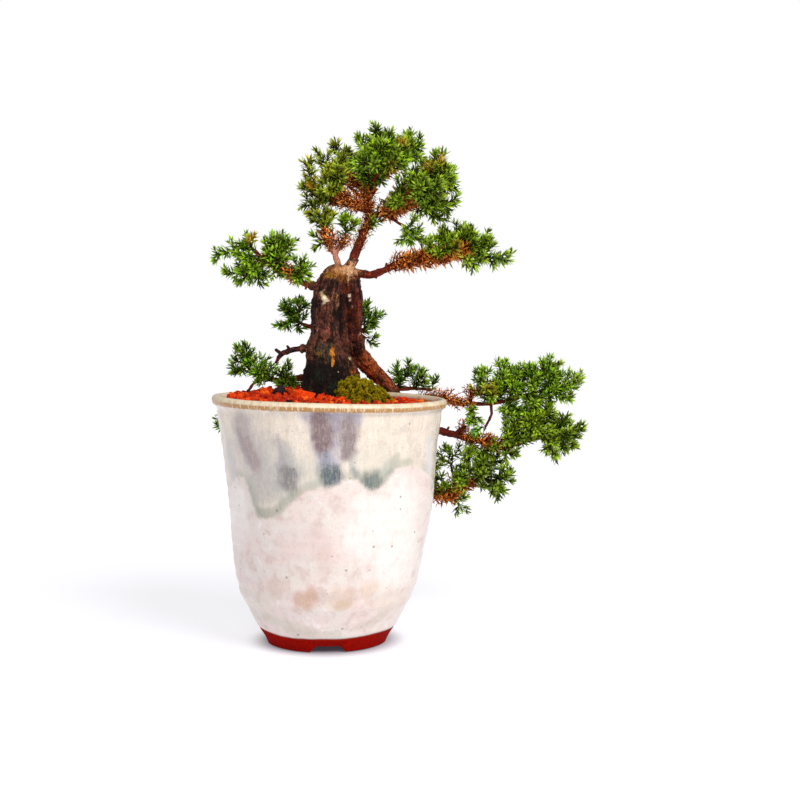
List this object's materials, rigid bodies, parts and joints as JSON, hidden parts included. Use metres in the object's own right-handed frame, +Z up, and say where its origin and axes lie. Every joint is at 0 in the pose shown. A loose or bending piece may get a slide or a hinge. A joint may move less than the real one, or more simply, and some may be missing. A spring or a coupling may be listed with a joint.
{
  "type": "potted juniper bonsai",
  "caption": "Semi-cascade juniper bonsai with a bent trunk, rounded crown and hanging right-hand branches, in a tall round glazed pot with red lava gravel and moss.",
  "frame": {"origin": "on the floor under the pot's foot ring, at the middle of the whole part's bounding box; the pot's axis stands at x = -0.0527, y = -0.0103", "axes": "+Z up; +X to the right in the picture's view, towards the hanging branches; +Y away from the viewer"},
  "size_m": [0.2571, 0.1727, 0.3353],
  "materials": {
    "glaze": "gloss",
    "drainage_plastic": "matte",
    "soil": "matte",
    "lava": "matte",
    "dark_lava": "matte",
    "moss": "matte",
    "bark": "matte",
    "needles": "satin",
    "olive_needles": "satin"
  },
  "bodies": {
    "root": {"back_rim_inner": "needles", "back_rim_outer": "needles", "behind_left": "olive_needles", "behind_right": "needles", "behind_right_low": "needles", "crown_apex": "needles", "crown_back": "needles", "crown_back_left": "olive_needles", "crown_back_right": "needles", "crown_front": "needles", "crown_front_left": "olive_needles", "crown_front_right": "needles", "crown_hanging": "needles", "crown_left": "olive_needles", "crown_lower_left": "olive_needles", "crown_lower_right": "needles", "crown_middle": "needles", "crown_right": "needles", "crown_upper_left": "olive_needles", "crown_upper_right": "needles", "drainage_mesh": "drainage_plastic", "hanging_low_drop": "needles", "hanging_low_inner": "needles", "hanging_low_middle": "needles", "hanging_low_tip": "needles", "hanging_low_upper": "needles", "hanging_main_drop": "needles", "hanging_main_low": "needles", "hanging_main_middle": "needles", "hanging_main_outer": "needles", "hanging_main_tip": "needles", "hanging_upper_back": "needles", "hanging_upper_bright": "needles", "hanging_upper_drop": "needles", "hanging_upper_middle": "needles", "hanging_upper_outer": "needles", "hanging_upper_stub": "needles", "hanging_upper_tip": "needles", "juniper_wood": "bark", "lava_gravel": "lava", "lava_stone_dark": "dark_lava", "lava_stone_red": "lava", "left_pad_low": "olive_needles", "left_pad_middle": "olive_needles", "left_pad_root": "olive_needles", "left_pad_tip": "olive_needles", "low_left_inner": "olive_needles", "low_left_middle": "olive_needles", "low_left_tip": "olive_needles", "low_left_trailer": "olive_needles", "moss": "moss", "pot": "glaze", "right_pad_front": "needles", "right_pad_middle": "needles", "right_pad_tip": "needles", "soil": "soil", "top_twig_left": "olive_needles", "top_twig_low": "needles", "top_twig_right": "needles"}
  },
  "joints": []
}
